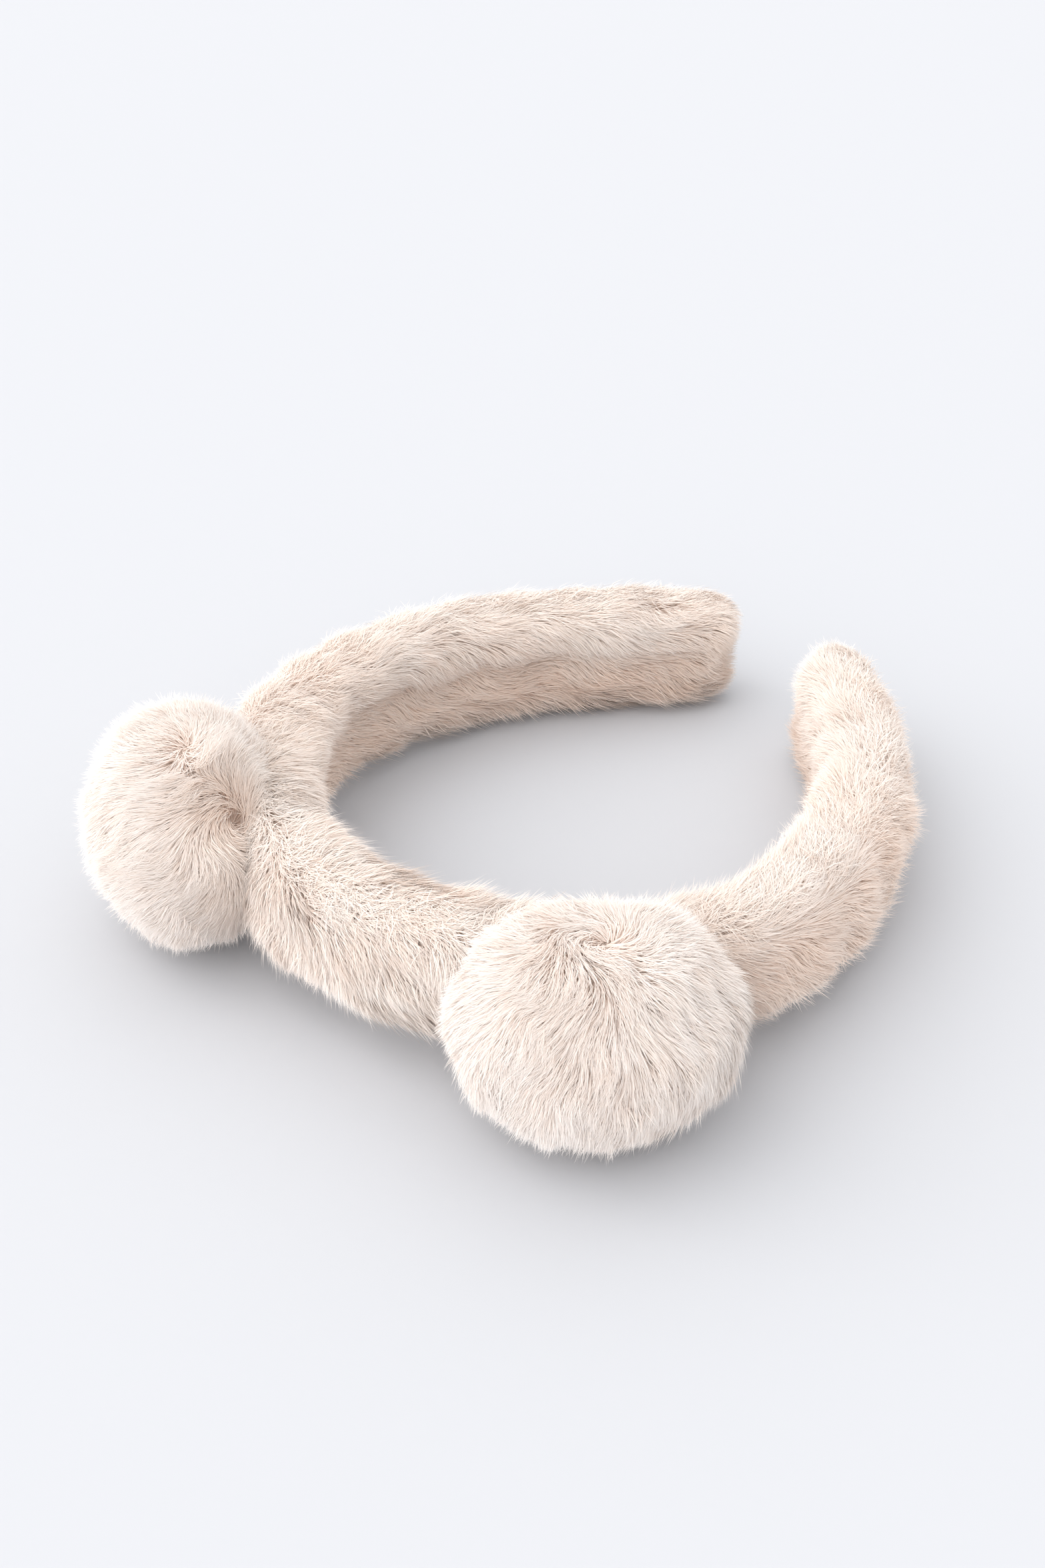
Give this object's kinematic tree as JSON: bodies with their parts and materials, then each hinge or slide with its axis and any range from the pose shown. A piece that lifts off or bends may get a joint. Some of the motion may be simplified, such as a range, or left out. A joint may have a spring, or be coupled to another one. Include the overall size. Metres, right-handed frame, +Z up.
{
  "type": "furry headband with round animal ears",
  "caption": "Stiff arch-shaped headband wrapped in long-pile fur, with two stuffed round animal ears sewn to its crown, lying on its side.",
  "frame": {"origin": "on the surface that it lies on, under the middle of its bounding box", "axes": "+Z up, along the wearer's front-to-back direction; +Y from the crown towards the open tips; +X from the left ear to the right ear"},
  "size_m": [0.1782, 0.2006, 0.0547],
  "materials": {
    "band_fur": "long-pile cream plush fur",
    "ear_fur": "long-pile cream plush fur, combed out from a whorl"
  },
  "bodies": {
    "root": {"band": "band_fur", "ear_left": "ear_fur", "ear_right": "ear_fur"}
  },
  "joints": []
}
